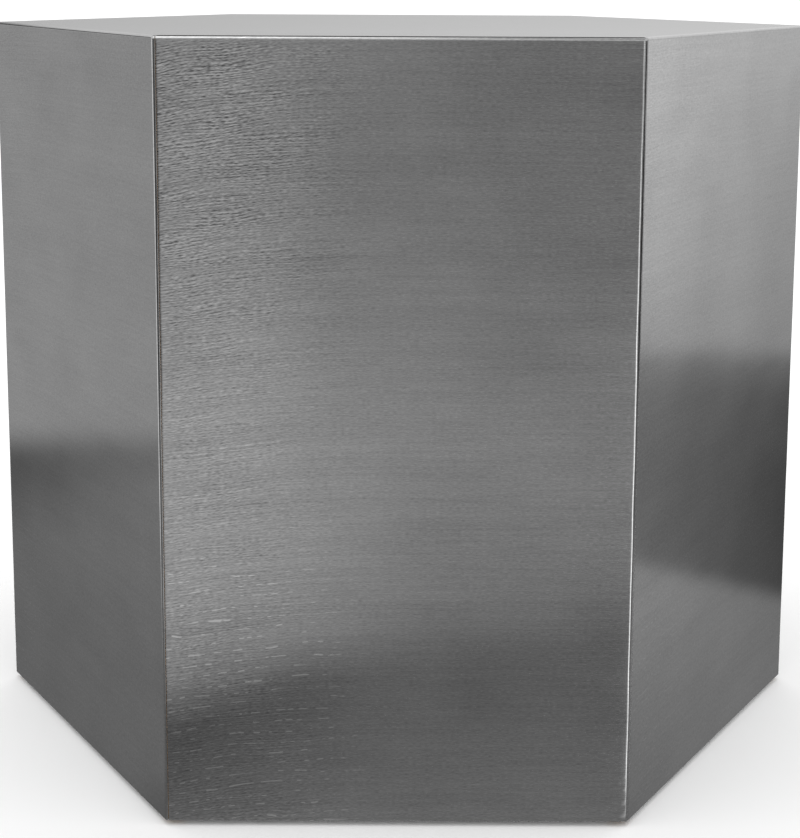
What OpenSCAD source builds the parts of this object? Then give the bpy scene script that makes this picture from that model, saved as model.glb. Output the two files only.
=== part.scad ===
// Hexagonal pedestal side table: stainless sheets bonded on an MDF carcass, on six levelling feet.
// The origin is on the floor, under the middle of the top. One flat side faces -Y.

/* [Table] */
// Width between two opposite flat sides
across_flats = 440; // [340:5:600]
// Overall height, from the floor to the top surface
table_h = 432; // [300:1:600]
// Height of the skirt's lower edge above the floor, with the feet screwed right in
skirt_gap = 3; // [2:0.5:5]

/* [Steel sheets] */
// Thickness of the stainless sheet
skin_t = 0.8; // [0.6:0.1:1.2]
// Outside radius of the folded upright edges
arris_r = 1.7; // [1:0.1:2]
// How far a side sheet is folded round its right-hand upright edge
lap = 1.4; // [1.2:0.1:3]
// Width of the narrow fold that frames the top sheet
top_fold = 2; // [1.5:0.1:2.5]
// Width of the return folded under the side boards
foot_fold = 14; // [8:1:14]
// Hairline joint between neighbouring sheets
seam = 0.3; // [0.2:0.05:0.5]

/* [Carcass] */
// Thickness of the top board
top_board_t = 18; // [15:1:25]
// Thickness of the side boards
side_board_t = 15; // [15:1:18]
// Thickness of the base board
base_board_t = 18; // [16:1:22]
// Gap between the base board and the side boards
base_fit = 0.5; // [0.3:0.1:1]
// Width of a glue block along each side board
block_leg = 22; // [18:1:24]

/* [Dowels and screws] */
// Diameter of the wooden dowels
dowel_d = 8; // [6:1:8]
// Length of a dowel that sits in the top board
dowel_up = 12; // [8:1:12]
// Length of a dowel that sits in a side board
dowel_down = 18; // [12:1:24]
// Distance of each dowel from the middle of its side
dowel_x = 75; // [40:5:80]
// Length of the base screws
screw_l = 40; // [30:5:50]
// Shank diameter of the base screws
screw_d = 4; // [3:0.5:5]
// Head diameter of the base screws
screw_head_d = 8; // [7:0.5:9]

/* [Levelling feet] */
// Gap between each foot's stem and the glue block beside it
foot_gap = 5; // [2:1:40]
// Diameter of the threaded stem
stem_d = 8; // [6:1:10]
// Length of thread above the hexagon
stem_l = 26; // [24:1:30]
// Width across the flats of the stem's hexagon
hex_af = 13; // [13:1:17]
// Diameter of the foot pad
pad_d = 30; // [26:1:36]
// Height of the foot pad
pad_h = 5; // [5:0.5:6]
// Thickness of the felt sole
glide_t = 1.5; // [1:0.5:2]

/* [Hidden] */

$fn = 48;
step = 60;                      // turn from one side of the hexagon to the next
steel = [0.52, 0.52, 0.53];
mdf = [0.62, 0.48, 0.33];
pine = [0.83, 0.68, 0.46];
beech = [0.79, 0.63, 0.45];
black_paint = [0.06, 0.06, 0.06];
zinc = [0.74, 0.75, 0.76];
nylon = [0.10, 0.10, 0.11];
felt = [0.30, 0.29, 0.28];

// Distances from the middle to each layer's flat sides, from the outside in
outer_a = across_flats / 2;
carcass_a = outer_a - skin_t;
inner_a = carcass_a - side_board_t;

// Heights, from the floor up
skirt_z = skirt_gap;
side_z = skirt_z + skin_t;
top_board_z = table_h - skin_t - top_board_t;
glide_z = 0;
pad_z = glide_z + glide_t;
pad_top_z = pad_z + pad_h;
hex_z = pad_top_z + 0.3;
hex_h = 2.7;
insert_flange_h = 1.2;
insert_flange_z = hex_z + hex_h + 0.3;
base_z = insert_flange_z + insert_flange_h;
block_z = base_z + base_board_t;

// Fits
run_fit = 0.05;                 // radial clearance of a turning fit
glue_fit = 0.05;                // radial clearance of a glued dowel

// Feet
block_reach = block_leg / cos(step);    // how far a glue block comes in from the boards' corner
foot_r = inner_a / cos(30) - block_reach - foot_gap - stem_d / 2;
insert_d = stem_d + 4;
insert_flange_d = insert_d + 5;
insert_l = base_board_t - 3;
button_d = stem_d + 3;          // disc at the stem's foot, held inside the pad
button_h = 1.4;
button_z = pad_z + 2.1;
button_gap = 0.1;               // clearance above and below the disc
pad_edge = 1;                   // bevel round the top of the pad
glide_inset = 1;                // how far the felt stops short of the pad's rim

// Screws
screw_r = inner_a / cos(30) - block_leg;
screw_head_h = 2.6;
screw_slot_w = 1.2;
screw_slot_d = 1.4;

// Half of one side of a hexagon whose flat sides are a from the middle
function half_side(a) = a * tan(30);

module hexagon(a) {
    circle(r = a / cos(30), $fn = 6);
}

module board(a, z, t) {
    translate([0, 0, z])
        linear_extrude(t)
            hexagon(a);
}

// Plan of a side sheet or of its top fold: w is its width inwards from the flat side at -Y.
// It starts a seam clear of its left-hand neighbour's lap and goes round its own right-hand edge.
module sheet_plan(w) {
    corner = [half_side(outer_a), -outer_a];
    along = [cos(step), sin(step)];
    inwards = [-cos(30), sin(30)];
    bend = [corner[0] - arris_r * tan(30), corner[1] + arris_r];
    left_x = -corner[0] + lap + seam;
    polygon(concat(
        [[left_x, -outer_a]],
        [for (a = [0:10:step]) bend + arris_r * [cos(a - 90), sin(a - 90)]],
        [
            corner + lap * along,
            corner + lap * along + w * inwards,
            [half_side(outer_a - w), w - outer_a],
            [left_x, w - outer_a]
        ]
    ));
}

module side_skin(i) {
    fold_half = half_side(outer_a - foot_fold) - 1;
    rotate([0, 0, step * (i - 1)]) {
        translate([0, 0, skirt_z])
            linear_extrude(table_h - skirt_z)
                sheet_plan(skin_t);
        translate([0, 0, table_h - skin_t])
            linear_extrude(skin_t)
                sheet_plan(top_fold);
        translate([-fold_half, -outer_a, skirt_z])
            cube([2 * fold_half, foot_fold, skin_t]);
    }
}

module top_skin() {
    board(outer_a - top_fold - seam, table_h - skin_t, skin_t);
}

// Places its children on the two dowel axes of each side board
module at_dowels(i) {
    rotate([0, 0, step * (i - 1)])
        for (x = [-dowel_x, dowel_x])
            translate([x, -carcass_a + side_board_t / 2, top_board_z])
                children();
}

module top_board() {
    difference() {
        board(carcass_a, top_board_z, top_board_t);
        for (i = [1:6])
            at_dowels(i)
                translate([0, 0, -1])
                    cylinder(d = dowel_d, h = dowel_up + 1.5);
    }
}

module side_board(i) {
    difference() {
        rotate([0, 0, step * (i - 1)])
            translate([0, 0, side_z])
                linear_extrude(top_board_z - side_z)
                    polygon([
                        [-half_side(carcass_a), -carcass_a],
                        [half_side(carcass_a), -carcass_a],
                        [half_side(inner_a), -inner_a],
                        [-half_side(inner_a), -inner_a]
                    ]);
        at_dowels(i)
            translate([0, 0, -dowel_down - 0.5])
                cylinder(d = dowel_d, h = dowel_down + 1.5);
    }
}

module dowel() {
    translate([0, 0, -dowel_down])
        cylinder(r = dowel_d / 2 - glue_fit, h = dowel_down + dowel_up);
}

module dowels() {
    for (i = [1:6])
        at_dowels(i)
            dowel();
}

// Places its children on one corner's line, r from the middle
module at_corner(i, r, z) {
    rotate([0, 0, step * (i - 1)])
        translate([r, 0, z])
            children();
}

module corner_block(i) {
    corner_r = inner_a / cos(30);
    difference() {
        at_corner(i, corner_r, block_z)
            linear_extrude(top_board_z - block_z)
                polygon([
                    [0, 0],
                    block_leg * [-cos(step), sin(step)],
                    [-block_reach, 0],
                    block_leg * [-cos(step), -sin(step)]
                ]);
        at_corner(i, screw_r, block_z - 1)
            cylinder(d = screw_d, h = screw_l - base_board_t + 1.5);
    }
}

module base_board() {
    difference() {
        board(inner_a - base_fit, base_z, base_board_t);
        for (i = [1:6]) {
            at_corner(i, screw_r, base_z - 1)
                cylinder(d = screw_d, h = base_board_t + 2);
            at_corner(i, screw_r, base_z)
                cylinder(d1 = screw_head_d, d2 = screw_d, h = screw_head_h);
            at_corner(i, foot_r, base_z - 1)
                cylinder(d = insert_d, h = base_board_t + 2);
        }
    }
}

// A countersunk screw, pointing up, with its head's face at z = 0 and a cross slot in it
module screw() {
    tip_h = 5;
    shank_r = screw_d / 2 - glue_fit;
    head_r = screw_head_d / 2 - glue_fit;
    difference() {
        union() {
            cylinder(r1 = head_r, r2 = shank_r, h = screw_head_h);
            cylinder(r = shank_r, h = screw_l - tip_h);
            translate([0, 0, screw_l - tip_h])
                cylinder(r1 = shank_r, r2 = 0.4, h = tip_h);
        }
        for (turn = [0, 90])
            rotate([0, 0, turn])
                translate([-head_r * 0.6, -screw_slot_w / 2, -1])
                    cube([head_r * 1.2, screw_slot_w, screw_slot_d + 1]);
    }
}

module base_screws() {
    for (i = [1:6])
        at_corner(i, screw_r, base_z)
            screw();
}

module threaded_insert() {
    difference() {
        union() {
            cylinder(d = insert_d, h = insert_l);
            translate([0, 0, -insert_flange_h])
                cylinder(d = insert_flange_d, h = insert_flange_h);
        }
        translate([0, 0, -insert_flange_h - 1])
            cylinder(r = stem_d / 2, h = insert_l + insert_flange_h + 2);
    }
}

module threaded_inserts() {
    for (i = [1:6])
        at_corner(i, foot_r, base_z)
            threaded_insert();
}

module leveller_stem(i) {
    stem_r = stem_d / 2 - run_fit;
    point_h = 1;
    at_corner(i, foot_r, 0) {
        translate([0, 0, button_z])
            cylinder(d = button_d - 2 * run_fit, h = button_h);
        translate([0, 0, button_z])
            cylinder(r = stem_r, h = hex_z + hex_h + stem_l - point_h - button_z);
        translate([0, 0, hex_z])
            cylinder(r = hex_af / 2 / cos(30), h = hex_h, $fn = 6);
        translate([0, 0, hex_z + hex_h + stem_l - point_h])
            cylinder(r1 = stem_r, r2 = stem_r - point_h, h = point_h);
    }
}

module leveller_pad(i) {
    at_corner(i, foot_r, pad_z)
        difference() {
            union() {
                cylinder(d = pad_d, h = pad_h - pad_edge);
                translate([0, 0, pad_h - pad_edge])
                    cylinder(d1 = pad_d, d2 = pad_d - 2 * pad_edge, h = pad_edge);
            }
            translate([0, 0, button_z - pad_z - button_gap])
                cylinder(d = button_d, h = button_h + 2 * button_gap);
            translate([0, 0, button_z - pad_z])
                cylinder(r = stem_d / 2, h = pad_h);
        }
}

module glide(i) {
    at_corner(i, foot_r, glide_z)
        cylinder(d = pad_d - 2 * glide_inset, h = glide_t);
}

color(steel) top_skin();
color(mdf) top_board();
color(beech) dowels();
color(black_paint) base_board();
color(zinc) base_screws();
color(zinc) threaded_inserts();
for (i = [1:6]) {
    color(steel) side_skin(i);
    color(mdf) side_board(i);
    color(pine) corner_block(i);
    color(zinc) leveller_stem(i);
    color(nylon) leveller_pad(i);
    color(felt) glide(i);
}
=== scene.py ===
import bpy
import bmesh
import math
import numpy as np
from mathutils import Matrix, Vector


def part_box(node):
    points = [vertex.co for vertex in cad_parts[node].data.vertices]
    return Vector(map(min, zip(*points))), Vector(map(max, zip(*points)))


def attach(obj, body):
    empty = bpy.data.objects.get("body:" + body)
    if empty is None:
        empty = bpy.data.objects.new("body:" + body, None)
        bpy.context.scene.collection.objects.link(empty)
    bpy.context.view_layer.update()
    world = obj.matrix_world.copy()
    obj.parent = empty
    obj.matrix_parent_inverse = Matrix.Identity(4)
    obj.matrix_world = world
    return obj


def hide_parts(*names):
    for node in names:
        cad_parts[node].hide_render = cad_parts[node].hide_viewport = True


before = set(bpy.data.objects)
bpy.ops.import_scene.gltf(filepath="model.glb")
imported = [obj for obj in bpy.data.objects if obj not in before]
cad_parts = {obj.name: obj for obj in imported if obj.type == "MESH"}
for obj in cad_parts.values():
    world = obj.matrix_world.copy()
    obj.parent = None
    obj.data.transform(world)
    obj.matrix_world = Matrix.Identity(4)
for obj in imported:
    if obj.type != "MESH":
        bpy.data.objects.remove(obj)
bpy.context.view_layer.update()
scene = bpy.context.scene
mm = 0.001
sides = 6
sideTurn = math.tau / sides
tan30 = math.tan(math.radians(30))
cos30 = math.cos(math.radians(30))
print("frame loaded:", len(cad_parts), "nodes")

# sizes that the CAD model fixes
sheetLow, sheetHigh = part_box("side_skin_1")     # the sheet that faces -Y
topLow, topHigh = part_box("top_skin")
outerA = -sheetLow.y                            # middle of the table to a flat side
skirtZ = sheetLow.z
tableZ = sheetHigh.z
sheetT = topHigh.z - topLow.z
halfSide = outerA * tan30


def linear(hexColour):
    out = []
    for k in (1, 3, 5):
        c = int(hexColour[k:k + 2], 16) / 255
        out.append(c / 12.92 if c <= 0.04045 else ((c + 0.055) / 1.055) ** 2.4)
    return (*out, 1.0)


def addNode(tree, kind, inputs=None, **settings):
    # an input is a number, a vector, a socket, or a node whose first output is meant
    node = tree.nodes.new(kind)
    for name, value in settings.items():
        setattr(node, name, value)
    for key, value in (inputs or {}).items():
        if isinstance(value, bpy.types.Node):
            value = value.outputs[0]
        if isinstance(value, bpy.types.NodeSocket):
            tree.links.new(value, node.inputs[key])
        else:
            node.inputs[key].default_value = value
    return node


def newMaterial(name):
    mat = bpy.data.materials.new(name)
    mat.use_nodes = True
    mat.node_tree.nodes.clear()
    return mat, mat.node_tree


def newObject(name, mesh):
    ob = bpy.data.objects.new(name, mesh)
    scene.collection.objects.link(ob)
    return ob


def waver(z, phase, spans):
    # a slow, hand-made wander between about -1 and 1; spans are its wavelengths in metres
    return sum(math.sin(math.tau * z / span + phase * (k + 1.7)) for k, span in enumerate(spans)) / len(spans)


cameraSetup = {
    "place": (0.0022, -1.190, 0.467),           # metres, in front of one flat side
    "down": 9.49,                               # degrees
    "left": -0.17,
    "roll": 0.27,
    "lens": 80.6,                               # mm, as is the sensor's width
    "sensor": 36,
    "shift": (-0.0098, -0.165),
    "clip": (0.02, 200),
}


def makeCamera(s):
    data = bpy.data.cameras.new("camera")
    data.lens = s["lens"]
    data.sensor_width = s["sensor"]
    data.shift_x, data.shift_y = s["shift"]
    data.clip_start, data.clip_end = s["clip"]
    cam = newObject("camera", data)
    turn = Matrix.Rotation(math.radians(s["left"]), 4, "Z")
    tilt = Matrix.Rotation(math.radians(90 - s["down"]), 4, "X")
    roll = Matrix.Rotation(math.radians(s["roll"]), 4, "Z")
    cam.matrix_world = Matrix.Translation(s["place"]) @ turn @ tilt @ roll
    scene.camera = cam


makeCamera(cameraSetup)
scene.view_settings.view_transform = "Standard"
print("camera made")


# Stainless sheet, brushed lengthways with an abrasive belt: a neutral grey metal covered in fine bright and
# dark hairlines. It mirrors soft shapes, smeared across the lines and much sharper along them.
steelSheet = {
    "dark": "#757576",
    "light": "#F2F2F2",
    "roughness": 0.092,
    "spread": 0.60,                             # how much wider the glint is across the lines
    # length and width in mm, detail, strength all over, extra strength among the coarse marks; real belt
    # lines are near 0.1 mm wide, so the finest here are drawn as coarse as they need to be to show
    "layers": (
        ((2.3, 0.36), 0.5, 0.42, 1.30),
        ((7.0, 0.65), 1.0, 0.26, 0.50),
        ((60.0, 1.7), 2.0, 0.20, 0.35),
        ((380.0, 13.0), 2.0, 0.16, 0.10),
    ),
    # four numbers are a reading's low and high end, and what they are turned into
    "patch": (48.0, 13.0),
    "patchSpan": (0.38, 0.62, 0.55, 1.15),
    "smudge": (62.0, 48.0),
    "smudgeTone": 0.22,
    "smudgeGloss": 0.06,
    "mottle": 1.8,
    "marksLeft": (0.50, 0.10),                  # share of the width where the coarse marks start and are full
    "marksUp": (0.22, 0.41, 0.34, 1.0),         # metres above the foot
    "marksTop": (4.0, 9.0, 0.1, 1.0),           # mm below the top
    "dash": (3.0, 1.6),                         # length of a coarse mark, and from one row to the next
    "dashSpan": (0.36, 0.64),
    "dashDepth": 0.52,
    "dashStray": 30.0,                          # how far the rows wander, in radians of their own wave
    "paintedGlint": (4.4, 6.0),                         # the same for the painted glints of the scratches
    "paintedGlintSpan": (0.54, 0.66),
    "paintedGlintRow": (0.94, 0.99),
    "paintedGlintStray": 8.0,
    "paintedGlintUp": (0.09, 0.17, 1.6, 0.22),
    "relief": 0.0032,
    "quarterTurn": 0.25,                        # lays the wide part of the glint across the lines
}


def makeBrushedSteel(name, s, coarse=0.0, sweep=0.0, lined=1.0, cloudy=0.14):
    # coarse: strength of the coarser marks by the left-hand edge; sweep: how steeply the lines rise there;
    # lined and cloudy: strength of the hairlines and of the fine cloudiness
    mat, t = newMaterial(name)
    width = 2 * halfSide
    reach = 0.5 * width
    uv = addNode(t, "ShaderNodeUVMap", uv_map="brush")
    place = addNode(t, "ShaderNodeSeparateXYZ", {0: uv})
    along, up = place.outputs[0], place.outputs[1]
    # the lines rise from the left-hand edge and are level by mid-sheet
    near = addNode(t, "ShaderNodeMath", {0: along, 1: reach}, operation="MINIMUM")
    square = addNode(t, "ShaderNodeMath", {0: near, 1: near}, operation="MULTIPLY")
    rise = addNode(t, "ShaderNodeMath", {0: square, 1: -0.5 / reach, 2: near}, operation="MULTIPLY_ADD")
    height = addNode(t, "ShaderNodeMath", {0: rise, 1: -sweep, 2: up}, operation="MULTIPLY_ADD")
    lines = addNode(t, "ShaderNodeCombineXYZ", {0: along, 1: height})

    # where the coarse marks are: to the left, more so high up, in loose patches
    start, full = (share * width for share in s["marksLeft"])
    leftward = addNode(t, "ShaderNodeMapRange", {0: along, 1: start, 2: full},
                       interpolation_type="SMOOTHSTEP")
    fromFoot = addNode(t, "ShaderNodeMath", {0: up, 1: tableZ}, operation="MODULO")
    upward = addNode(t, "ShaderNodeMapRange", dict(enumerate((fromFoot, *s["marksUp"]))),
                     interpolation_type="SMOOTHSTEP")
    faint, strong, least, most = s["marksTop"]
    offEdge = addNode(t, "ShaderNodeMapRange", {
        0: fromFoot, 1: tableZ - faint * mm, 2: tableZ - strong * mm, 3: least, 4: most,
    })
    patchPlace = addNode(t, "ShaderNodeVectorMath", {0: lines, 1: tuple(v * mm for v in (*s["patch"], 1000))},
                         operation="DIVIDE")
    patchNoise = addNode(t, "ShaderNodeTexNoise", {"Vector": patchPlace, "Scale": 1.0, "Detail": 2.0})
    patch = addNode(t, "ShaderNodeMapRange", dict(enumerate((patchNoise, *s["patchSpan"]))))
    left = addNode(t, "ShaderNodeMath", {0: leftward, 1: coarse}, operation="MULTIPLY")
    region = addNode(t, "ShaderNodeMath", {0: left, 1: upward}, operation="MULTIPLY")
    region = addNode(t, "ShaderNodeMath", {0: region, 1: patch}, operation="MULTIPLY")
    region = addNode(t, "ShaderNodeMath", {0: region, 1: offEdge}, operation="MULTIPLY")

    tone = 0.5
    for size, detail, everywhere, extra in s["layers"]:
        scaled = addNode(t, "ShaderNodeVectorMath", {0: lines, 1: (size[0] * mm, size[1] * mm, 1)},
                         operation="DIVIDE")
        grain = addNode(t, "ShaderNodeTexNoise", {"Vector": scaled, "Scale": 1.0, "Detail": detail})
        centred = addNode(t, "ShaderNodeMath", {0: grain, 1: 0.5}, operation="SUBTRACT")
        amount = addNode(t, "ShaderNodeMath", {0: region, 1: extra, 2: everywhere * lined},
                         operation="MULTIPLY_ADD")
        tone = addNode(t, "ShaderNodeMath", {0: centred, 1: amount, 2: tone}, operation="MULTIPLY_ADD")

    # the coarse marks stand in close, wavering rows of dashes
    dashLong, dashApart = s["dash"]
    dashPlace = addNode(t, "ShaderNodeVectorMath", {0: lines, 1: (dashLong * mm, 0.8 * dashApart * mm, 1)},
                        operation="DIVIDE")
    dashNoise = addNode(t, "ShaderNodeTexNoise", {"Vector": dashPlace, "Scale": 1.0, "Detail": 0.0})
    dash = addNode(t, "ShaderNodeMapRange", dict(enumerate((dashNoise, *s["dashSpan"]))))
    stray = addNode(t, "ShaderNodeMath", {0: patchNoise, 1: s["dashStray"]}, operation="MULTIPLY")
    closeAngle = addNode(t, "ShaderNodeMath", {0: height, 1: math.tau / (dashApart * mm), 2: stray},
                         operation="MULTIPLY_ADD")
    closeRow = addNode(t, "ShaderNodeMath", {0: closeAngle}, operation="SINE")
    dash = addNode(t, "ShaderNodeMath", {0: dash, 1: closeRow}, operation="MULTIPLY")
    dashDepth = addNode(t, "ShaderNodeMath", {0: region, 1: s["dashDepth"]}, operation="MULTIPLY")
    tone = addNode(t, "ShaderNodeMath", {0: dash, 1: dashDepth, 2: tone}, operation="MULTIPLY_ADD")
    relief = tone

    # real scratches with painted glints: short marks in rising rows, low on the left, lightened in the base
    # colour as if they caught the light
    glintLong, glintApart = s["paintedGlint"]
    glintPlace = addNode(t, "ShaderNodeVectorMath", {0: lines, 1: (glintLong * mm, 2 * glintApart * mm, 1)},
                        operation="DIVIDE")
    glintNoise = addNode(t, "ShaderNodeTexNoise", {"Vector": glintPlace, "Scale": 1.0, "Detail": 0.0})
    paintedGlint = addNode(t, "ShaderNodeMapRange", dict(enumerate((glintNoise, *s["paintedGlintSpan"]))))
    wobble = addNode(t, "ShaderNodeMath", {0: patchNoise, 1: s["paintedGlintStray"]}, operation="MULTIPLY")
    rowAngle = addNode(t, "ShaderNodeMath", {0: height, 1: math.tau / (glintApart * mm), 2: wobble},
                       operation="MULTIPLY_ADD")
    row = addNode(t, "ShaderNodeMath", {0: rowAngle}, operation="SINE")
    rowLine = addNode(t, "ShaderNodeMapRange", dict(enumerate((row, *s["paintedGlintRow"]))))
    low = addNode(t, "ShaderNodeMapRange", dict(enumerate((fromFoot, *s["paintedGlintUp"]))),
                  interpolation_type="SMOOTHSTEP")
    paintedGlint = addNode(t, "ShaderNodeMath", {0: paintedGlint, 1: rowLine}, operation="MULTIPLY")
    paintedGlint = addNode(t, "ShaderNodeMath", {0: paintedGlint, 1: low}, operation="MULTIPLY")
    tone = addNode(t, "ShaderNodeMath", {0: paintedGlint, 1: left, 2: tone}, operation="MULTIPLY_ADD")

    # faint handling smudges, and the fine cloudiness that a belt leaves
    smudgePlace = addNode(t, "ShaderNodeVectorMath", {0: uv, 1: tuple(v * mm for v in (*s["smudge"], 1000))},
                          operation="DIVIDE")
    smudge = addNode(t, "ShaderNodeTexNoise", {"Vector": smudgePlace, "Scale": 1.0, "Detail": 3.0})
    smudgeTone = addNode(t, "ShaderNodeMath", {0: smudge, 1: 0.5}, operation="SUBTRACT")
    tone = addNode(t, "ShaderNodeMath", {0: smudgeTone, 1: s["smudgeTone"], 2: tone},
                   operation="MULTIPLY_ADD")
    mottle = addNode(t, "ShaderNodeTexNoise", {"Vector": uv, "Scale": 1 / (s["mottle"] * mm), "Detail": 2.0})
    mottleTone = addNode(t, "ShaderNodeMath", {0: mottle, 1: 0.5}, operation="SUBTRACT")
    tone = addNode(t, "ShaderNodeMath", {0: mottleTone, 1: cloudy, 2: tone}, operation="MULTIPLY_ADD")

    colour = addNode(t, "ShaderNodeMix", {0: tone, 6: linear(s["dark"]), 7: linear(s["light"])},
                     data_type="RGBA", clamp_factor=True)
    rough = addNode(t, "ShaderNodeMath", {0: smudgeTone, 1: s["smudgeGloss"], 2: s["roughness"]},
                    operation="MULTIPLY_ADD")
    bump = addNode(t, "ShaderNodeBump", {"Height": relief, "Strength": 1.0, "Distance": s["relief"] * mm})
    tangent = addNode(t, "ShaderNodeTangent", direction_type="UV_MAP", uv_map="brush")
    shader = addNode(t, "ShaderNodeBsdfPrincipled", {
        "Base Color": colour.outputs[2], "Roughness": rough, "Normal": bump, "Tangent": tangent,
        "Metallic": 1.0, "Anisotropic": s["spread"], "Anisotropic Rotation": s["quarterTurn"],
    })
    addNode(t, "ShaderNodeOutputMaterial", {"Surface": shader})
    return mat


# Medium density fibreboard: pressed wood fibre, an even pale brown with fine darker flecks and no grain.
fibreboard = {"ground": "#A88A68", "mark": "#7F6346", "grain": (1.1, 1.1, 1.1), "cloud": (60, 60, 60),
              "roughness": 0.86, "relief": 0.15, "metal": 0.0, "sheen": 0.0}
# The same board under two coats of matt black paint, so the fibres only just lift the surface.
blackPaint = {"ground": "#151515", "mark": "#20201F", "grain": (0.8, 0.8, 0.8), "cloud": (40, 40, 40),
              "roughness": 0.62, "relief": 0.08, "metal": 0.0, "sheen": 0.0}
# Sawn pine: pale yellow, with darker growth rings a few millimetres apart that run up the block.
sawnPine = {"ground": "#DDBB86", "mark": "#A9763F", "grain": (4.5, 4.5, 350), "cloud": (30, 30, 350),
            "roughness": 0.70, "relief": 0.12, "metal": 0.0, "sheen": 0.0}
# Turned beech: pinkish tan, tight straight grain with short dark flecks.
turnedBeech = {"ground": "#D2AC82", "mark": "#A97F57", "grain": (0.9, 0.9, 12), "cloud": (12, 12, 60),
               "roughness": 0.55, "relief": 0.06, "metal": 0.0, "sheen": 0.0}
# Zinc plate with a clear passivation: light blue-grey metal, half bright, with a faintly cloudy film.
zincPlate = {"ground": "#BFC3C7", "mark": "#9FA5AC", "grain": (0.7, 0.7, 0.7), "cloud": (3.5, 3.5, 3.5),
             "roughness": 0.32, "relief": 0.03, "metal": 1.0, "sheen": 0.0}
# Moulded black nylon: deep grey-black, satin, with the fine dull grain of the mould.
mouldedNylon = {"ground": "#1B1B1C", "mark": "#2C2C2D", "grain": (0.5, 0.5, 0.5), "cloud": (9, 9, 9),
                "roughness": 0.46, "relief": 0.02, "metal": 0.0, "sheen": 0.0}
# Pressed wool felt: mid grey, no gloss, short tangled fibres that look soft at the edge.
woolFelt = {"ground": "#55534F", "mark": "#7A7771", "grain": (0.6, 0.6, 0.6), "cloud": (6, 6, 6),
            "roughness": 0.95, "relief": 0.25, "metal": 0.0, "sheen": 0.4}


# what these finishes share: where the marks start and are full, and how far the cloudiness moves things
solid = {"sharp": (0.40, 0.64), "cloudTone": 0.8, "cloudGloss": 0.2, "bump": 0.5}


def makeSolidFinish(name, s):
    # sizes are in mm on the piece's own axes
    mat, t = newMaterial(name)
    place = addNode(t, "ShaderNodeTexCoord").outputs["Object"]
    grainSize, cloudSize = (tuple(v * mm for v in s[k]) for k in ("grain", "cloud"))
    grainPlace = addNode(t, "ShaderNodeVectorMath", {0: place, 1: grainSize}, operation="DIVIDE")
    grain = addNode(t, "ShaderNodeTexNoise", {
        "Vector": grainPlace, "Scale": 1.0, "Detail": 3.0, "Roughness": 0.6,
    })
    cloudPlace = addNode(t, "ShaderNodeVectorMath", {0: place, 1: cloudSize}, operation="DIVIDE")
    cloud = addNode(t, "ShaderNodeTexNoise", {"Vector": cloudPlace, "Scale": 1.0, "Detail": 2.0})
    sharp = addNode(t, "ShaderNodeMapRange", dict(enumerate((grain, *solid["sharp"]))))
    wander = addNode(t, "ShaderNodeMath", {0: cloud, 1: 0.5}, operation="SUBTRACT")
    tone = addNode(t, "ShaderNodeMath", {0: wander, 1: solid["cloudTone"], 2: sharp},
                   operation="MULTIPLY_ADD")
    colour = addNode(t, "ShaderNodeMix", {0: tone, 6: linear(s["ground"]), 7: linear(s["mark"])},
                     data_type="RGBA", clamp_factor=True)
    rough = addNode(t, "ShaderNodeMath", {0: wander, 1: solid["cloudGloss"], 2: s["roughness"]},
                    operation="MULTIPLY_ADD")
    bump = addNode(t, "ShaderNodeBump", {
        "Height": grain, "Strength": solid["bump"], "Distance": s["relief"] * mm,
    })
    shader = addNode(t, "ShaderNodeBsdfPrincipled", {
        "Base Color": colour.outputs[2], "Roughness": rough, "Normal": bump,
        "Metallic": s["metal"], "Sheen Weight": s["sheen"],
    })
    addNode(t, "ShaderNodeOutputMaterial", {"Surface": shader})
    return mat


steelFront = makeBrushedSteel("brushedStainlessFront", steelSheet, coarse=1.0, sweep=0.165)
steelSide = makeBrushedSteel("brushedStainlessSide", steelSheet, coarse=0.10, sweep=0.05, lined=0.62,
                             cloudy=0.24)
steelTop = makeBrushedSteel("brushedStainlessTop", steelSheet, lined=0.8)
boardRaw = makeSolidFinish("rawFibreboard", fibreboard)
boardBlack = makeSolidFinish("blackPaintedFibreboard", blackPaint)
pine = makeSolidFinish("sawnPine", sawnPine)
beech = makeSolidFinish("turnedBeech", turnedBeech)
zinc = makeSolidFinish("zincPlatedSteel", zincPlate)
nylon = makeSolidFinish("mouldedNylon", mouldedNylon)
felt = makeSolidFinish("pressedWoolFelt", woolFelt)
print("materials made")


sideSheet = {
    "arris": 2.0 * mm,                          # outside radius of the folded upright edge
    "arrisWander": 0.38 * mm,                   # how much hand finishing varies that radius
    "lap": 1.4 * mm,
    "seam": 0.3 * mm,
    "seamWander": 0.08 * mm,
    "topRound": 1.6 * mm,
    "hemRound": 0.85 * mm,
    "topFold": 2.0 * mm,
    "hem": 1.7 * mm,                            # width of the hem in the notches by the corners
    "return": 14.0 * mm,
    "notch": 1.0 * mm,
    "edgeRound": 0.12 * mm,
    "bulge": 0.10 * mm,                         # the sheet isn't dead flat
    "columns": 26,
    "rows": 44,
    "arcSteps": 9,
    "leftMargin": 1.5 * mm,                     # where the flat part's columns start and end
    "arcMargin": 0.6 * mm,
    "rowMargin": 0.5 * mm,
    "notchStep": 0.1 * mm,
    "weld": 0.0005 * mm,                        # points closer than this are one point
    "arrisSpans": (0.19, 0.083, 0.047),         # wavelengths in metres
    "seamSpans": (0.17, 0.06, 0.11),
    # phases that differ from sheet to sheet: a step for each sheet, and where the first starts
    "arrisPhase": (1.9, 0.4),
    "seamPhase": 2.3,
    "alongPhase": 2.1,
    "upPhase": (1.3, 0.7),
    "tipWall": 0.3 * mm,
    "lapFollow": 0.8,                           # how far the lap's edge keeps to the wandering seam
    "bulgeAlong": (0.21, 0.13),
    "bulgeUp": (0.27, 0.16),
}
crease = 35                                     # degrees; folds steeper than this stay sharp


def roundedEdge(radius, steps=4):
    # (distance in from a sheet's edge, how far its rounded surface has dropped there)
    angles = [math.radians(90 * k / steps) for k in range(steps + 1)]
    return [(radius - radius * math.cos(a), radius - radius * math.sin(a)) for a in angles]


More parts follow.
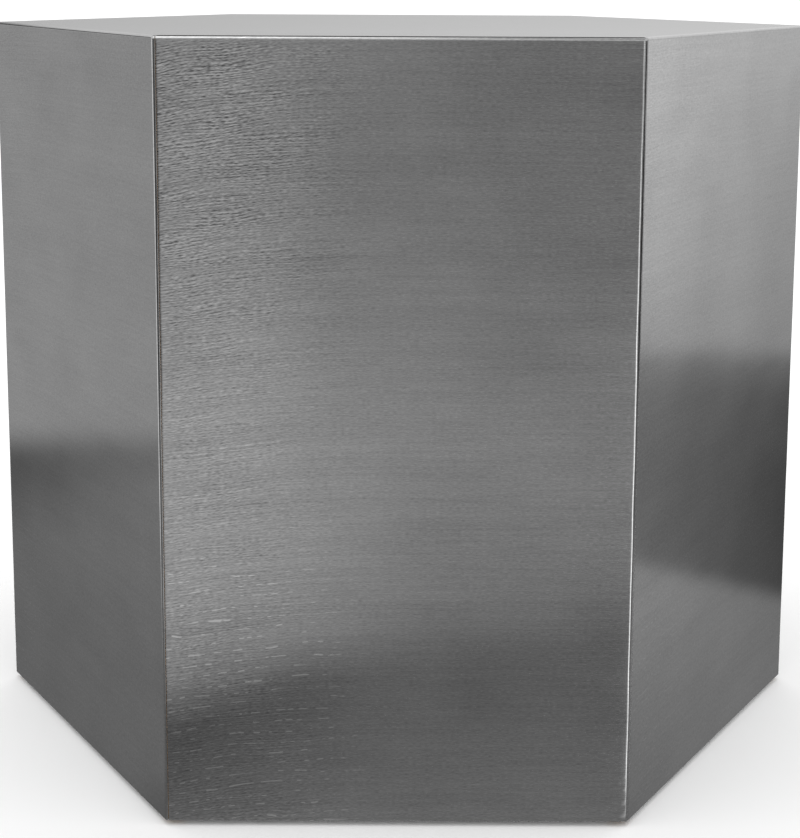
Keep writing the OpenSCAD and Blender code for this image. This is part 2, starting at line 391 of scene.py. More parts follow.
def sheetSection(s):
    # the outer surface from the hem's tip, up the side, to the tip of the top fold:
    # (measured from the hem's tip, inset from the flat side, height, outward part, upward part, drop)
    edge = roundedEdge(s["edgeRound"])
    arc = [math.radians(90 * k / s["arcSteps"]) for k in range(s["arcSteps"] + 1)]
    low, high = s["hemRound"], s["topRound"]
    points = [(True, d, skirtZ, 0, -1, drop) for d, drop in edge]
    turns = [(math.sin(a), math.cos(a)) for a in arc]
    points += [(False, low - low * sine, skirtZ + low - low * cosine, sine, -cosine, 0)
               for sine, cosine in turns]
    start, end = skirtZ + low + s["rowMargin"], tableZ - high - s["rowMargin"]
    points += [(False, 0, start + (end - start) * k / s["rows"], 1, 0, 0) for k in range(s["rows"] + 1)]
    points += [(False, high - high * cosine, tableZ - high + high * sine, cosine, sine, 0)
               for sine, cosine in turns]
    points += [(False, s["topFold"] - d, tableZ, 0, 1, drop) for d, drop in reversed(edge)]
    return points


def makeSideSheet(index, s, material):
    # a closed sheet: outer and inner points on the section, taken along the side and round its right edge
    left = -halfSide + s["lap"] + s["seam"]
    notch = halfSide - s["return"] * tan30 - s["notch"]
    alongNext = Vector((math.cos(sideTurn), math.sin(sideTurn)))
    inwardNext = Vector((-cos30, math.sin(math.radians(30))))
    bisector = Vector((math.cos(-sideTurn), math.sin(-sideTurn)))
    edge = roundedEdge(s["edgeRound"])
    flatStart = left + s["leftMargin"]
    flatEnd = halfSide - (s["arris"] + s["arrisWander"]) * tan30 - s["arcMargin"]
    flats = [flatStart + (flatEnd - flatStart) * k / s["columns"] for k in range(s["columns"] + 1)]
    flats = sorted(flats + [sign * notch + d for sign in (-1, 1) for d in (-s["notchStep"], s["notchStep"])])
    stations = [("left", d, drop) for d, drop in edge]
    stations += [("flat", x, 0) for x in flats]
    stations += [("arc", 60 * k / s["arcSteps"], 0) for k in range(s["arcSteps"] + 1)]
    stations += [("lap", d, drop) for d, drop in reversed(edge)]
    section = sheetSection(s)
    path = [0.0]
    for a, b in zip(section, section[1:]):
        step = math.hypot(b[1] - a[1], b[2] - a[2]) if a[0] == b[0] else s["tipWall"]
        path.append(path[-1] + step)

    def bulge(x, z):
        high = min(max((z - skirtZ) / (tableZ - skirtZ), 0), 1)
        fade = math.cos(math.pi * x / (2 * halfSide)) ** 2 * math.sin(math.pi * high) ** 2
        along = waver(x, index * s["alongPhase"], s["bulgeAlong"])
        up = waver(z, index * s["upPhase"][0] + s["upPhase"][1], s["bulgeUp"])
        return s["bulge"] * fade * (along + up)

    def planPoint(kind, amount, inset, depth, z):
        step, first = s["arrisPhase"]
        radius = s["arris"] + s["arrisWander"] * waver(z, index * step + first, s["arrisSpans"])
        inset = inset + depth
        arcStart = halfSide - radius * tan30
        if kind == "left":
            wander = s["seamWander"] * waver(z, (index - 1) % sides * s["seamPhase"], s["seamSpans"])
            return Vector((left + amount + wander, -outerA + inset)), left + amount
        if kind == "flat":
            return Vector((amount, -outerA + inset - bulge(amount, z))), amount
        if kind == "arc":
            centre = Vector((arcStart, -outerA + radius))
            a = math.radians(amount)
            along = arcStart + radius * a
            if inset >= radius:
                return centre - bisector * (inset - radius) / cos30, along
            # the inside of the fold is pressed tight on the board's corner
            sharp = 1 if depth == 0 else 1 / max(math.cos(a), math.cos(sideTurn - a))
            return centre + (radius - inset) * sharp * Vector((math.sin(a), -math.cos(a))), along
        wander = s["seamWander"] * waver(z, index % sides * s["seamPhase"], s["seamSpans"])
        distance = s["lap"] - amount + wander * s["lapFollow"]
        corner = Vector((halfSide, -outerA))
        return (corner + distance * alongNext + inset * inwardNext,
                arcStart + radius * sideTurn + distance - radius * tan30)

    bm = bmesh.new()
    uvLayer = bm.loops.layers.uv.new("brush")
    spots = {}
    for si, (kind, amount, sideDrop) in enumerate(stations):
        for sj, (fromTip, inset, z, out, up, drop) in enumerate(section):
            if fromTip:
                flange = kind == "flat" and abs(amount) < notch
                inset = (s["return"] if flange else s["hem"]) - inset
            for inner in (0, 1):
                depth = sheetT if inner else max(sideDrop, drop)
                p, u = planPoint(kind, amount, inset, depth * out, z)
                vert = bm.verts.new((p.x, p.y, z - depth * up))
                spots[si, sj, inner] = vert, (u + halfSide, path[sj] + (index - 1) * tableZ)

    def face(*keys):
        f = bm.faces.new([spots[k][0] for k in keys])
        for loop, k in zip(f.loops, keys):
            loop[uvLayer].uv = spots[k][1]

    lastI, lastJ = len(stations) - 1, len(section) - 1
    for si in range(lastI):
        for sj in range(lastJ):
            face((si, sj, 0), (si + 1, sj, 0), (si + 1, sj + 1, 0), (si, sj + 1, 0))
            face((si, sj, 1), (si, sj + 1, 1), (si + 1, sj + 1, 1), (si + 1, sj, 1))
        face((si, 0, 0), (si, 0, 1), (si + 1, 0, 1), (si + 1, 0, 0))
        face((si, lastJ, 0), (si + 1, lastJ, 0), (si + 1, lastJ, 1), (si, lastJ, 1))
    for sj in range(lastJ):
        face((0, sj, 0), (0, sj + 1, 0), (0, sj + 1, 1), (0, sj, 1))
        face((lastI, sj, 0), (lastI, sj, 1), (lastI, sj + 1, 1), (lastI, sj + 1, 0))
    bmesh.ops.remove_doubles(bm, verts=bm.verts[:], dist=s["weld"])
    bmesh.ops.recalc_face_normals(bm, faces=bm.faces[:])
    bm.transform(Matrix.Rotation((index - 1) * sideTurn, 4, "Z"))
    mesh = bpy.data.meshes.new(f"side_sheet_{index}")
    bm.to_mesh(mesh)
    bm.free()
    mesh.materials.append(material)
    mesh.shade_smooth()
    mesh.set_sharp_from_angle(angle=math.radians(crease))
    ob = newObject(f"side_sheet_{index}", mesh)
    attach(ob, "table")
    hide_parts(f"side_skin_{index}")


for i in range(1, sides + 1):
    makeSideSheet(i, sideSheet, steelFront if i == 1 else steelSide)
print("side sheets made")


topSheet = {
    "edgeRound": 0.3 * mm, "edgeMargin": 0.6 * mm, "bulge": 0.05 * mm, "rings": 14, "perSide": 16,
    "bulgeX": (0.4, 0.23), "bulgeY": (0.31, 0.17), "innerRing": 0.5,
    "brushPlace": 9,                            # metres; keeps its hairlines apart from the sides'
}


def makeTopSheet(s, material):
    apothem = topHigh.y
    flat = apothem - s["edgeRound"] - s["edgeMargin"]
    rings = [(flat * k / s["rings"], tableZ) for k in range(1, s["rings"] + 1)]
    rings += [(apothem - d, tableZ - drop) for d, drop in reversed(roundedEdge(s["edgeRound"]))]
    rings += [(apothem, tableZ - sheetT), (apothem * s["innerRing"], tableZ - sheetT)]
    count = sides * s["perSide"]

    def ringPoint(a, z, k):
        side, part = divmod(k, s["perSide"])
        x = a * tan30 * (2 * part / s["perSide"] - 1)
        turn = Matrix.Rotation(sideTurn * side, 3, "Z")
        p = turn @ Vector((x, -a, z))
        if z == tableZ:
            fade = (1 - (a / apothem) ** 4) * (a / apothem)
            p.z += s["bulge"] * fade * (waver(p.x, 0.6, s["bulgeX"]) + waver(p.y, 1.9, s["bulgeY"]))
        return p

    bm = bmesh.new()
    uvLayer = bm.loops.layers.uv.new("brush")
    grid = [[bm.verts.new(ringPoint(a, z, k)) for k in range(count)] for a, z in rings]
    middleTop = bm.verts.new((0, 0, tableZ))
    middleLow = bm.verts.new((0, 0, tableZ - sheetT))
    for k in range(count):
        n = (k + 1) % count
        bm.faces.new((middleTop, grid[0][k], grid[0][n]))
        for a, b in zip(grid, grid[1:]):
            bm.faces.new((a[k], b[k], b[n], a[n]))
        bm.faces.new((middleLow, grid[-1][n], grid[-1][k]))
    bmesh.ops.recalc_face_normals(bm, faces=bm.faces[:])
    for f in bm.faces:
        for loop in f.loops:
            p = loop.vert.co
            loop[uvLayer].uv = (p.x + halfSide, p.y + s["brushPlace"] + (tableZ - p.z))
    mesh = bpy.data.meshes.new("top_sheet")
    bm.to_mesh(mesh)
    bm.free()
    mesh.materials.append(material)
    mesh.shade_smooth()
    mesh.set_sharp_from_angle(angle=math.radians(crease))
    ob = newObject("top_sheet", mesh)
    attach(ob, "table")
    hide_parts("top_skin")


makeTopSheet(topSheet, steelTop)
print("top sheet made")


def newTree(name, given):
    # a geometry tree whose named inputs are its sizes
    tree = bpy.data.node_groups.new(name, "GeometryNodeTree")
    for label, kind in given.items():
        tree.interface.new_socket(label, in_out="INPUT", socket_type=kind)
    tree.interface.new_socket("Geometry", in_out="OUTPUT", socket_type="NodeSocketGeometry")
    return tree, addNode(tree, "NodeGroupInput").outputs


def makeThreadTree():
    # winds a right-hand thread round a rod that stands at the origin, then stands the rod in its place
    tree, given = newTree("threadedRod", {
        "Geometry": "NodeSocketGeometry", "Crest": "NodeSocketFloat", "Ridge": "NodeSocketFloat",
        "Pitch": "NodeSocketFloat", "Start": "NodeSocketFloat", "Length": "NodeSocketFloat",
        "Place": "NodeSocketVector", "Finish": "NodeSocketMaterial",
    })
    turns = addNode(tree, "ShaderNodeMath", {0: given["Length"], 1: given["Pitch"]}, operation="DIVIDE")
    middle = addNode(tree, "ShaderNodeMath", {0: given["Crest"], 1: given["Ridge"]}, operation="SUBTRACT")
    spiral = addNode(tree, "GeometryNodeCurveSpiral", {
        "Resolution": 36, "Rotations": turns, "Start Radius": middle, "End Radius": middle,
        "Height": given["Length"], "Reverse": True,
    })
    level = addNode(tree, "GeometryNodeSetCurveNormal", {"Curve": spiral}, mode="Z_UP")
    ridge = addNode(tree, "GeometryNodeCurvePrimitiveCircle", {"Resolution": 3, "Radius": given["Ridge"]})
    wound = addNode(tree, "GeometryNodeCurveToMesh", {
        "Curve": level, "Profile Curve": ridge, "Fill Caps": True,
    })
    lift = addNode(tree, "ShaderNodeCombineXYZ", {"Z": given["Start"]})
    raised = addNode(tree, "GeometryNodeTransform", {"Geometry": wound, "Translation": lift})
    joined = addNode(tree, "GeometryNodeJoinGeometry", {"Geometry": raised})
    tree.links.new(given["Geometry"], joined.inputs["Geometry"])
    stood = addNode(tree, "GeometryNodeTransform", {"Geometry": joined, "Translation": given["Place"]})
    done = addNode(tree, "GeometryNodeSetMaterial", {"Geometry": stood, "Material": given["Finish"]})
    addNode(tree, "NodeGroupOutput", {"Geometry": done})
    return tree


def makeAroundTree():
    # repeats a piece that is modelled in its first place, evenly turned about Z
    tree, given = newTree("evenlyAround", {
        "Geometry": "NodeSocketGeometry", "Count": "NodeSocketInt", "Finish": "NodeSocketMaterial",
    })
    points = addNode(tree, "GeometryNodePoints", {"Count": given["Count"]})
    step = addNode(tree, "ShaderNodeMath", {0: math.tau, 1: given["Count"]}, operation="DIVIDE")
    number = addNode(tree, "GeometryNodeInputIndex")
    angle = addNode(tree, "ShaderNodeMath", {0: number, 1: step}, operation="MULTIPLY")
    turn = addNode(tree, "ShaderNodeCombineXYZ", {"Z": angle})
    copies = addNode(tree, "GeometryNodeInstanceOnPoints", {
        "Points": points, "Instance": given["Geometry"], "Rotation": turn,
    })
    real = addNode(tree, "GeometryNodeRealizeInstances", {"Geometry": copies})
    done = addNode(tree, "GeometryNodeSetMaterial", {"Geometry": real, "Material": given["Finish"]})
    addNode(tree, "NodeGroupOutput", {"Geometry": done})
    return tree


threadTree = makeThreadTree()
aroundTree = makeAroundTree()


def grow(ob, tree, values):
    # runs a tree on a piece and keeps what it makes as the piece's own mesh
    grower = ob.modifiers.new(tree.name, "NODES")
    grower.node_group = tree
    for item in tree.interface.items_tree:
        if item.name in values:
            grower[item.identifier] = values[item.name]
    grown = bpy.data.meshes.new_from_object(ob.evaluated_get(bpy.context.evaluated_depsgraph_get()))
    ob.modifiers.remove(grower)
    grown.materials.clear()
    grown.materials.append(values["Finish"])
    ob.data = grown


def turned(bm, rows, steps=48, hexagonal=False):
    # a surface of revolution through (radius, height) rows, where radius 0 closes an end; the rows of a
    # hexagon give the distance to its flats, and how far its corners reach
    rings = []
    for row in rows:
        if row[0] == 0:
            rings.append([bm.verts.new((0, 0, row[1]))] * steps)
            continue
        ring = []
        for k in range(steps):
            a = math.tau * k / steps
            r = row[0]
            if hexagonal:
                r = min(r / math.cos(a % sideTurn - sideTurn / 2), row[2])
            ring.append(bm.verts.new((r * math.cos(a), r * math.sin(a), row[1])))
        rings.append(ring)
    for low, high in zip(rings, rings[1:]):
        for k in range(steps):
            n = (k + 1) % steps
            corners = dict.fromkeys((low[k], low[n], high[n], high[k]))
            bm.faces.new(corners)
    return rings


def newPiece(name, bm):
    mesh = bpy.data.meshes.new(name)
    bmesh.ops.recalc_face_normals(bm, faces=bm.faces[:])
    bm.to_mesh(mesh)
    bm.free()
    return newObject(name, mesh)


smallCrease = 32                                # degrees, for the turned and threaded pieces


def finishPiece(ob, body, node):
    ob.data.shade_smooth()
    ob.data.set_sharp_from_angle(angle=math.radians(smallCrease))
    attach(ob, body)
    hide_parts(node)


# Levelling stem: a rolled M8 thread, a hexagon for a spanner with chamfered corners, and a disc at the foot
# that the pad holds.
stem = {
    "crest": 3.95 * mm, "core": 3.25 * mm, "ridge": 0.66 * mm, "pitch": 1.25 * mm,
    "disc": (5.4 * mm, 3.6 * mm, 5.0 * mm),     # radius, foot, top
    "hexagon": (6.5 * mm, 6.8 * mm, 9.5 * mm),  # centre to flat, foot, top
    "corner": 7.5 * mm, "chamfer": 0.35 * mm, "top": 35.5 * mm, "point": 1.0 * mm,
}


def makeStem(index, s):
    bm = bmesh.new()
    c = s["chamfer"]
    r, z0, z1 = s["disc"]
    turned(bm, [(0, z0), (r - c, z0), (r, z0 + c), (r, z1 - c), (r - c, z1), (0, z1)])
    flat, z2, z3 = s["hexagon"]
    turned(bm, [(0, z1 - c), (s["crest"], z1 - c), (s["crest"], z2 + c), (0, z2 + c)])
    turned(bm, [(0, z2), (flat, z2, flat), (flat, z2 + c, s["corner"]), (flat, z3 - c, s["corner"]),
                (flat, z3, flat), (0, z3)], hexagonal=True)
    turned(bm, [(0, z3 - c), (s["core"], z3 - c), (s["core"], s["top"] - s["point"]),
                (s["core"] - s["point"], s["top"]), (0, s["top"])])
    ob = newPiece(f"levelling_stem_{index}", bm)
    low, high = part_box(f"leveller_stem_{index}")
    start = z3 + s["pitch"] / 2
    grow(ob, threadTree, {
        "Crest": s["crest"], "Ridge": s["ridge"], "Pitch": s["pitch"], "Start": start,
        "Length": s["top"] - s["point"] - start, "Place": ((low.x + high.x) / 2, (low.y + high.y) / 2, 0),
        "Finish": zinc,
    })
    finishPiece(ob, f"stem_{index}", f"leveller_stem_{index}")


for i in range(1, sides + 1):
    makeStem(i, stem)
print("levelling stems made")


# Countersunk wood screw with a cross recess, threaded over its upper half; six hold the base board.
screw = {
    "head": 3.95 * mm, "headHeight": 2.6 * mm, "shank": 1.95 * mm, "core": 1.45 * mm, "length": 40.0 * mm,
    "plain": 18.0 * mm, "ridge": 0.45 * mm, "pitch": 1.8 * mm, "tip": 4.0 * mm,
    "recess": (2.35 * mm, 0.6 * mm, 1.4 * mm),  # half length, half width, depth
    "taper": 0.8, "edge": 0.1 * mm, "runOut": 1 * mm,
}


def makeScrews(s):
    bm = bmesh.new()
    edge, start = s["edge"], s["plain"] + s["runOut"]
    rings = turned(bm, [
        (s["head"] - 2 * edge, 0), (s["head"] - edge, edge / 2), (s["shank"], s["headHeight"]),
        (s["shank"], s["plain"]), (s["core"], start), (s["core"], s["length"] - s["tip"]),
        (0, s["length"]),
    ])
    rim = rings[0]
    long, wide, deep = s["recess"]
    quarter = [Vector((long, -wide)), Vector((long, wide)), Vector((wide, wide))]
    outline = [Matrix.Rotation(math.pi / 2 * q, 2) @ p for q in range(4) for p in quarter]
    mouth = [bm.verts.new((p.x, p.y, 0)) for p in outline]
    floor = [bm.verts.new((p.x * s["taper"], p.y * s["taper"], deep)) for p in outline]
    mouthEdges = [bm.edges.new((a, b)) for a, b in zip(mouth, mouth[1:] + mouth[:1])]
    rimEdges = [bm.edges.get((a, b)) for a, b in zip(rim, rim[1:] + rim[:1])]
    bmesh.ops.triangle_fill(bm, use_beauty=True, edges=mouthEdges + rimEdges)
    for k in range(len(mouth)):
        n = (k + 1) % len(mouth)
        bm.faces.new((mouth[k], mouth[n], floor[n], floor[k]))
    bm.faces.new(floor)
    ob = newPiece("countersunk_screws", bm)
    low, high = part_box("base_screws")
    grow(ob, threadTree, {
        "Crest": s["shank"], "Ridge": s["ridge"], "Pitch": s["pitch"], "Start": start,
        "Length": s["length"] - s["tip"] - start, "Place": (high.x - s["head"], 0, low.z), "Finish": zinc,
    })
    grow(ob, aroundTree, {"Count": sides, "Finish": zinc})
    finishPiece(ob, "table", "base_screws")


makeScrews(screw)


# Flanged insert that the base board holds: a plain sleeve with broken edges; six stand round the board.
insert = {
    "flange": 8.5 * mm, "flangeHeight": 1.2 * mm, "body": 6.0 * mm, "bore": 4.0 * mm, "broken": 0.3 * mm,
    "weld": 0.001 * mm,
}


def makeInserts(s):
    low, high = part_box("threaded_inserts")
    b, rim, top = s["broken"], low.z + s["flangeHeight"], high.z
    rows = [
        (s["bore"], low.z + b), (s["bore"] + b, low.z), (s["flange"] - b, low.z), (s["flange"], low.z + b),
        (s["flange"], rim), (s["body"], rim), (s["body"], top - b), (s["body"] - b, top),
        (s["bore"] + b, top), (s["bore"], top - b),
    ]
    bm = bmesh.new()
    turned(bm, rows + rows[:1])
    bmesh.ops.remove_doubles(bm, verts=bm.verts[:], dist=s["weld"])
    bm.transform(Matrix.Translation((high.x - s["flange"], 0, 0)))
    ob = newPiece("flanged_inserts", bm)
    grow(ob, aroundTree, {"Count": sides, "Finish": zinc})
    finishPiece(ob, "table", "threaded_inserts")


makeInserts(insert)
print("screws and inserts made")


# finishes of the pieces that keep their CAD shape
finishes = {
    "top_board": boardRaw, "side_board": boardRaw, "base_board": boardBlack, "corner_block": pine,
    "dowels": beech, "leveller_pad": nylon, "glide": felt,
}
for name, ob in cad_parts.items():
    for start, material in finishes.items():
        if name.startswith(start):
            ob.data.materials.clear()
            ob.data.materials.append(material)
print("CAD pieces finished")


# White paper under an even white sky; from below it is see-through, so the underside can be looked at.
studio = {"paper": "#F6F6F6", "sky": 1.30, "floorSize": 60.0}


def makeFloor(s):
    mesh = bpy.data.meshes.new("floor")
    h = s["floorSize"] / 2
    mesh.from_pydata([(-h, -h, 0), (h, -h, 0), (h, h, 0), (-h, h, 0)], [], [(0, 1, 2, 3)])
    ob = newObject("floor", mesh)
    ob.visible_glossy = False
    mat, t = newMaterial("whitePaper")
    paper = addNode(t, "ShaderNodeBsdfDiffuse", {"Color": linear(s["paper"])})
    clear = addNode(t, "ShaderNodeBsdfTransparent")
    back = addNode(t, "ShaderNodeNewGeometry").outputs["Backfacing"]
    oneSided = addNode(t, "ShaderNodeMixShader", {0: back, 1: paper, 2: clear})
    addNode(t, "ShaderNodeOutputMaterial", {"Surface": oneSided})
    mesh.materials.append(mat)
    world = bpy.data.worlds.new("studio")
    scene.world = world
    world.use_nodes = True
    world.node_tree.nodes.clear()
    light = addNode(world.node_tree, "ShaderNodeBackground", {"Strength": s["sky"]})
    light.inputs["Color"].default_value = (1, 1, 1, 1)
    addNode(world.node_tree, "ShaderNodeOutputWorld", {"Surface": light})


# Painted reflections: what the polished steel sees instead of bare white paper, a glowing shell painted with
# grey boards on the floor and soft boxes above, which puts the light and dark on each steel side.
# Only reflections see it. Its tones are given, and white is 1.
room = {"radius": 25.0, "rings": 190, "spokes": 360, "rows": 60, "first": 0.10, "middle": 1 * mm}

# Where each side shows the floor: how far the eye stands in front of the table's middle and of its front
# side, then for each side the slope at which its left-hand edge is seen, and on to its right-hand one.
seen = {"eye": 1.19, "eyeToFront": 0.97, "front": (-0.131, 0.262), "left": (-0.2134, 0.0825),
        "right": (0.131, 0.0825)}

# A row of numbers under "at" is a place in metres or degrees, and the rows beside it are the tones there.
# Painted reflections of the floor for the front, left and right sides: darker close to the table, where they
# paint the table's shade on the floor, and paler beyond.
paintedFrontReflection = {
    "across": [0, 0.2, 0.36, 0.52, 0.7, 0.86, 1],
    "bright": [0.53, 0.51, 0.43, 0.38, 0.345, 0.325, 0.305],
    "farAt": [1.0, 1.4, 2.4, 4.8, 10], "far": [1, 0.89, 0.79, 0.75, 0.71],
    "darkLeftAt": [0, 0.05, 0.13], "darkLeft": [0.22, 0.15, 0.105],
    "darkRightAt": [0, 0.1, 0.2], "darkRight": [0.235, 0.205, 0.18],
    "darkAcross": (-0.1, 0.5),
    "edgeAt": [0, 0.3, 0.6, 1], "edge": [0.162, 0.235, 0.285, 0.325],
    "firm": (0.65, -0.055, 0.09),               # share of the fade, and where it starts and ends by the edge
    "soft": (0.35, 0.02, 0.30),
    "spread": (0.125, 0.15, 0.14, 0.55),        # half width at the table and its growth, at full and at none
}
paintedLeftReflection = {
    "bright": 0.395,
    "farAt": [-0.2, 0.0, 0.3, 0.5], "far": [0.17, 0.185, 0.20, 0.125],
    "nearAt": [-0.22, -0.15, 0.1, 0.45, 0.6], "near": [0.14, 0.20, 0.225, 0.265, 0.22],
    "edge": (0.555, 0.70),
}
paintedRightReflection = {
    "farAt": [1.1, 1.8, 3.5, 9], "farLeft": [0.52, 0.63, 0.72, 0.80], "farRight": [0.38, 0.43, 0.48, 0.62],
    "middleAt": [0.5, 0.85, 1.05], "middleLeft": [0.215, 0.25, 0.32], "middleRight": [0.085, 0.12, 0.22],
    "nearAt": [-0.22, -0.1, 0.0, 0.13], "nearLeft": [0.205, 0.26, 0.30, 0.37], "nearRight": 0.245,
    "farEdge": (1.02, 1.12), "nearEdge": (0.245, 0.165), "soft": 0.03,
}
# Painted highlights and dark lines for the folded edges: pale and dark bands that only the folded edges pick
# up. They lie in a wedge of angles about a front corner of the table.
paintedEdgeReflections = {
    "behind": (-35, 35),                        # where the floor behind goes over from left to right
    "reach": (0.35, 0.9), "close": (0.24, 0.34), "far": (1.15, 1.40),
    "paleLeft": {"rise": (156, 166), "fall": (190, 200), "tone": 1.0},
    "darkLeft": {"rise": (198, 208), "fall": (248, 260), "near": (216, 226), "tone": 0.07},
    "darkRight": {"rise": (-40, -34), "fall": (20, 30), "near": (-22, -12), "tone": 0.04},
    "paleRight": {"rise": (-82, -77), "fall": (-73, -68), "at": [1.5, 4], "tone": [2.6, 1.3]},
}
# In the painted sky, which only reflections see, an azimuth of 90 is straight behind the table, and -90
# straight in front.
sky = {
    "around": [-180, 0, 60, 78, 90, 101, 120, 180],
    "level": [0.56, 0.56, 0.60, 0.60, 0.55, 0.49, 0.52, 0.56],
    "upAt": [0, 1.5, 4, 15, 35], "up": [0.90, 0.96, 1.15, 1.5, 1.5],
    "back": ((-15, 25), (155, 195)),
    "overhead": {"rise": (36, 56), "tone": 0.42},
    "strip": {"rise": (20, 28), "width": (0.15, 0.20), "tone": 0.06},
    "paintedDarkPatch": {"left": (101, 106), "foot": (3, 6), "crown": 20, "middle": 122, "slope": 0.45,
               "soft": (-1, 2), "tone": 0.08},
    "box": {"rise": (15, 30), "fall": (66, 76), "at": [-180, -140, -101, -93, -84, -78, -60, -20],
            "tone": [0.9, 1.2, 2.0, 1.5, 0.5, 0.42, 0.8, 0.8]},
}


def smooth(x, a, b):
    t = np.clip((x - a) / (b - a), 0, 1)
    return t * t * (3 - 2 * t)


def mix(a, b, t):
    return a + (b - a) * t


def band(x, rise, fall):
    return smooth(x, *rise) * (1 - smooth(x, *fall))


def frontFloor(out, x, s):
    # out: distance in front of the table; across: from the left to the right as the front side shows it
    start, width = seen["front"]
    across = np.clip((x / (out + seen["eyeToFront"]) - start) / width, 0, 1)
    bright = np.interp(across, s["across"], s["bright"]) * np.interp(out, s["farAt"], s["far"])
    # the dark tones close to the table are painted shade on the mirrored floor
    darkLeft = np.interp(out, s["darkLeftAt"], s["darkLeft"])
    darkRight = np.interp(out, s["darkRightAt"], s["darkRight"])
    dark = mix(darkLeft, darkRight, smooth(across, *s["darkAcross"]))
    edge = np.interp(across, s["edgeAt"], s["edge"])
    fade = sum(share * smooth(out, edge + a, edge + b) for share, a, b in (s["firm"], s["soft"]))
    return mix(dark, bright, fade)


def leftFloor(depth, across, s):
    # depth: how far back the left side shows it; across: from the far corner to the near one
    dark = mix(np.interp(depth, s["farAt"], s["far"]), np.interp(depth, s["nearAt"], s["near"]), across)
    return mix(dark, s["bright"], smooth(depth, *s["edge"]))


def rightFloor(depth, across, s):
    # across: from the near corner to the far one
    far = mix(np.interp(depth, s["farAt"], s["farLeft"]), np.interp(depth, s["farAt"], s["farRight"]), across)
    middle = mix(np.interp(depth, s["middleAt"], s["middleLeft"]),
                 np.interp(depth, s["middleAt"], s["middleRight"]), across)
    near = mix(np.interp(depth, s["nearAt"], s["nearLeft"]), s["nearRight"], across)
    edge = mix(*s["nearEdge"], across)
    tone = mix(middle, far, smooth(depth, *s["farEdge"]))
    return mix(near, tone, smooth(depth, edge - s["soft"], edge + s["soft"]))


def floorTone(x, y, s):
    outFront = -y - outerA
    outLeft = -cos30 * x - 0.5 * y - outerA
    outRight = cos30 * x - 0.5 * y - outerA
    leftDepth, rightDepth = y + outLeft, y + outRight
    eye, (leftStart, leftWidth), (rightStart, rightWidth) = seen["eye"], seen["left"], seen["right"]
    leftSlope = (x + 2 * outLeft * cos30) / (leftDepth + eye)
    rightSlope = (x - 2 * outRight * cos30) / (rightDepth + eye)
    leftAcross = np.clip((leftSlope - leftStart) / leftWidth, 0, 1)
    rightAcross = np.clip((rightSlope - rightStart) / rightWidth, 0, 1)
    rightward = smooth(np.degrees(np.arctan2(x, y)), *s["behind"])
    tone = mix(leftFloor(leftDepth, leftAcross, paintedLeftReflection), rightFloor(rightDepth, rightAcross, paintedRightReflection),
               rightward)
    gap = np.maximum(outFront, 0)
    full, fullGrowth, none, noneGrowth = paintedFrontReflection["spread"]
    ahead = (1 - smooth(np.abs(x), full + fullGrowth * gap, none + noneGrowth * gap)) * (y < 0)
    tone = mix(tone, frontFloor(gap, x, paintedFrontReflection), ahead)

    leftAngle = np.degrees(np.arctan2(y + outerA, x + halfSide)) % 360
    rightAngle = np.degrees(np.arctan2(y + outerA, x - halfSide))
    away = np.hypot(x, y)
    reach, close, far = (smooth(away, *s[k]) for k in ("reach", "close", "far"))
    b = s["paleLeft"]
    tone = mix(tone, b["tone"], reach * band(leftAngle, b["rise"], b["fall"]) * (x < 0))
    b = s["darkLeft"]
    cover = np.maximum(far, reach * (1 - smooth(leftAngle, *b["near"])))
    tone = mix(tone, b["tone"], band(leftAngle, b["rise"], b["fall"]) * cover * (x < 0))
    b = s["paleRight"]
    paleTone = np.interp(away, b["at"], b["tone"])
    tone = mix(tone, paleTone, close * band(rightAngle, b["rise"], b["fall"]) * (x > 0))
    b = s["darkRight"]
    cover = np.maximum(far, reach * (1 - smooth(rightAngle, *b["near"])))
    return mix(tone, b["tone"], band(rightAngle, b["rise"], b["fall"]) * cover * (x > 0))


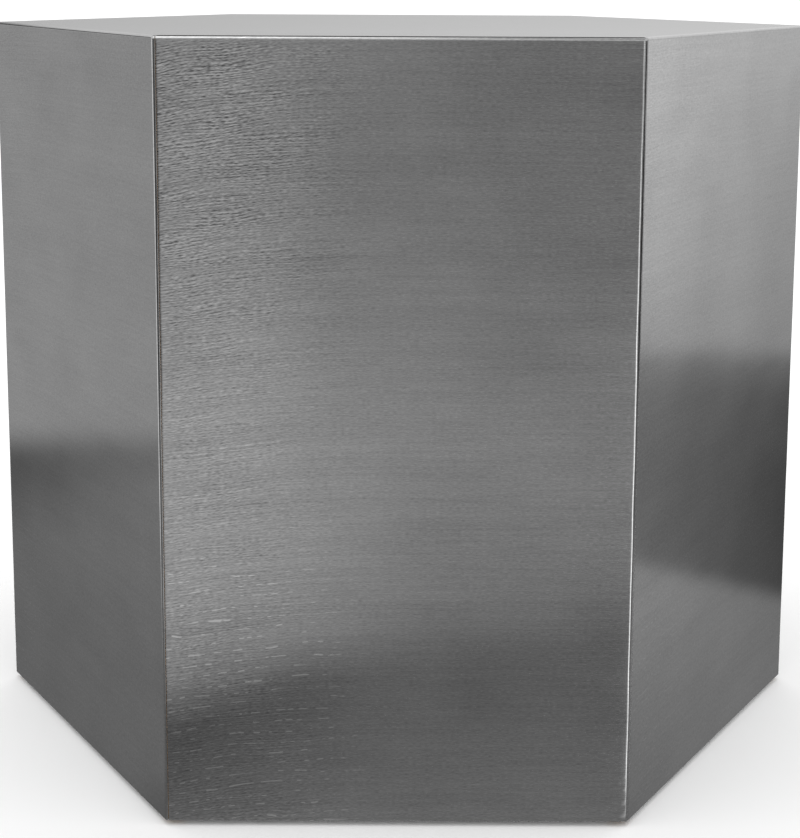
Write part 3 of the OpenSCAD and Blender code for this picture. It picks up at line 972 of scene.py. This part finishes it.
def skyTone(azimuth, height, s):
    level = np.interp(azimuth, s["around"], s["level"]) * np.interp(height, s["upAt"], s["up"])
    backward = band(azimuth, *s["back"])
    b = s["overhead"]
    level = mix(level, b["tone"], backward * smooth(height, *b["rise"]))
    # a narrow painted dark strip overhead, which the front's top edge mirrors as a thin dark line
    b = s["strip"]
    across = np.abs(np.cos(np.radians(azimuth)) * np.cos(np.radians(height)))
    level = mix(level, b["tone"], backward * smooth(height, *b["rise"]) * (1 - smooth(across, *b["width"])))
    # a painted dark patch, like a screen, behind the left-hand corner, for the steel to mirror
    b = s["paintedDarkPatch"]
    crown = b["crown"] - b["slope"] * np.abs(azimuth - b["middle"])
    top = 1 - smooth(height, crown + b["soft"][0], crown + b["soft"][1])
    level = mix(level, b["tone"], smooth(azimuth, *b["left"]) * smooth(height, *b["foot"]) * top)
    # a painted soft box high in front that is brighter to the left, which only reflections see
    b = s["box"]
    boxTone = np.interp(azimuth, b["at"], b["tone"])
    return mix(level, boxTone, band(height, b["rise"], b["fall"]) * (1 - backward))


def makeRoom(s):
    radii = s["first"] * (s["radius"] / s["first"]) ** (np.arange(s["rings"]) / (s["rings"] - 1))
    radii = np.concatenate([[s["middle"]], radii])
    heights = np.linspace(0, 90, s["rows"] + 1)[1:]
    angles = np.linspace(-180, 180, s["spokes"], endpoint=False)
    c, n = np.cos(np.radians(angles)), np.sin(np.radians(angles))
    points, tones = [], []
    for r in radii:
        points += [(r * a, r * b, 0) for a, b in zip(c, n)]
        tones.append(floorTone(r * c, r * n, paintedEdgeReflections))
    for h in heights:
        flat, tall = s["radius"] * math.cos(math.radians(h)), s["radius"] * math.sin(math.radians(h))
        points += [(flat * a, flat * b, tall) for a, b in zip(c, n)]
        tones.append(skyTone(angles, np.full_like(angles, h), sky))
    rows, spokes = len(radii) + len(heights), s["spokes"]
    faces = []
    for r in range(rows - 1):
        low, high = r * spokes, (r + 1) * spokes
        faces += [(low + k, low + (k + 1) % spokes, high + (k + 1) % spokes, high + k) for k in range(spokes)]
    mesh = bpy.data.meshes.new("reflection_room")
    mesh.from_pydata(points, [], faces)
    shade = mesh.attributes.new("tone", "FLOAT", "POINT")
    shade.data.foreach_set("value", np.concatenate(tones).astype(np.float32))
    mat, t = newMaterial("paintedReflectionShell")
    mat.cycles.emission_sampling = "NONE"
    tone = addNode(t, "ShaderNodeAttribute", attribute_name="tone").outputs["Fac"]
    # the shell glows with its painted tones, which only reflections see
    glow = addNode(t, "ShaderNodeEmission", {"Strength": tone})
    addNode(t, "ShaderNodeOutputMaterial", {"Surface": glow})
    mesh.materials.append(mat)
    ob = newObject("reflection_room", mesh)
    ob.visible_camera = ob.visible_diffuse = ob.visible_shadow = False
    ob.visible_transmission = ob.visible_volume_scatter = False


makeFloor(studio)
makeRoom(room)
print("studio made")
